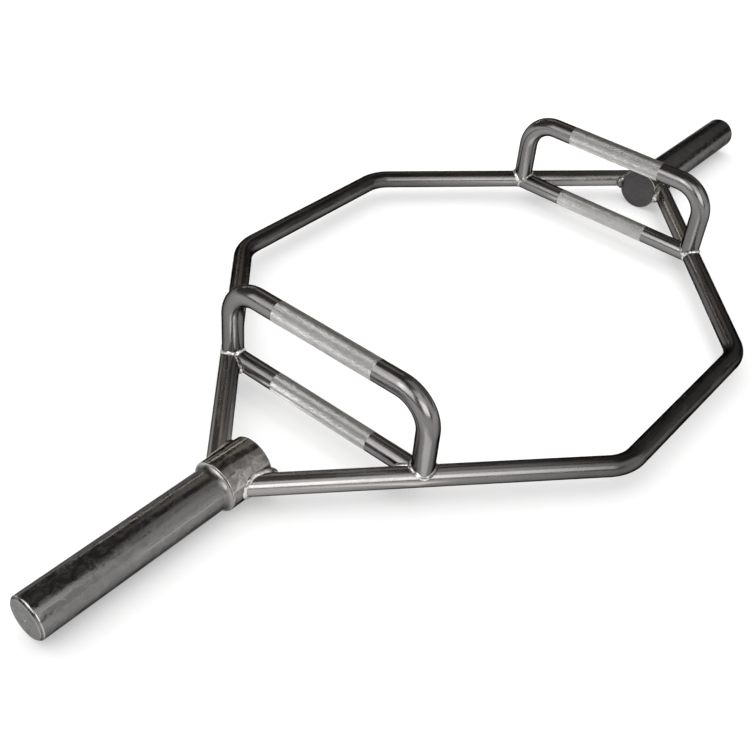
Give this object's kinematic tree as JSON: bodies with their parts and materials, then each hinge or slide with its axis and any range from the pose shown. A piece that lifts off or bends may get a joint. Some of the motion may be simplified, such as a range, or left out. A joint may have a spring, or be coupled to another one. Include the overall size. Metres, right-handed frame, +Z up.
{
  "type": "hex trap bar",
  "caption": "Hexagonal weight-lifting bar to stand inside, bent from plated round bar, with a plate sleeve at each end and low and raised knurled grips.",
  "frame": {"origin": "on the surface the bar rests on, under the middle of the hexagon", "axes": "+X along the sleeves from the left one to the right one, +Y from the front rail to the rear rail, +Z up"},
  "size_m": [1.45, 0.636, 0.1479],
  "materials": {
    "frame_plating": "bright dark nickel-chrome plating on polished round steel bar",
    "grip_plating": "bright plating, with a satin knurled band in the middle of each grip",
    "sleeve_plating": "plated turned steel, scuffed by plates",
    "collar_plating": "plated turned steel, smudged",
    "weld_plating": "plated weld bead, rippled"
  },
  "bodies": {
    "root": {"front_rail": "frame_plating", "rear_rail": "frame_plating", "left_sleeve": "sleeve_plating", "left_collar": "collar_plating", "left_shoulder_weld": "weld_plating", "left_low_grip": "grip_plating", "left_raised_grip": "grip_plating", "left_front_hub_weld": "weld_plating", "left_front_low_grip_weld": "weld_plating", "left_front_post_weld": "weld_plating", "left_rear_hub_weld": "weld_plating", "left_rear_low_grip_weld": "weld_plating", "left_rear_post_weld": "weld_plating", "right_sleeve": "sleeve_plating", "right_collar": "collar_plating", "right_shoulder_weld": "weld_plating", "right_low_grip": "grip_plating", "right_raised_grip": "grip_plating", "right_front_hub_weld": "weld_plating", "right_front_low_grip_weld": "weld_plating", "right_front_post_weld": "weld_plating", "right_rear_hub_weld": "weld_plating", "right_rear_low_grip_weld": "weld_plating", "right_rear_post_weld": "weld_plating"}
  },
  "joints": []
}
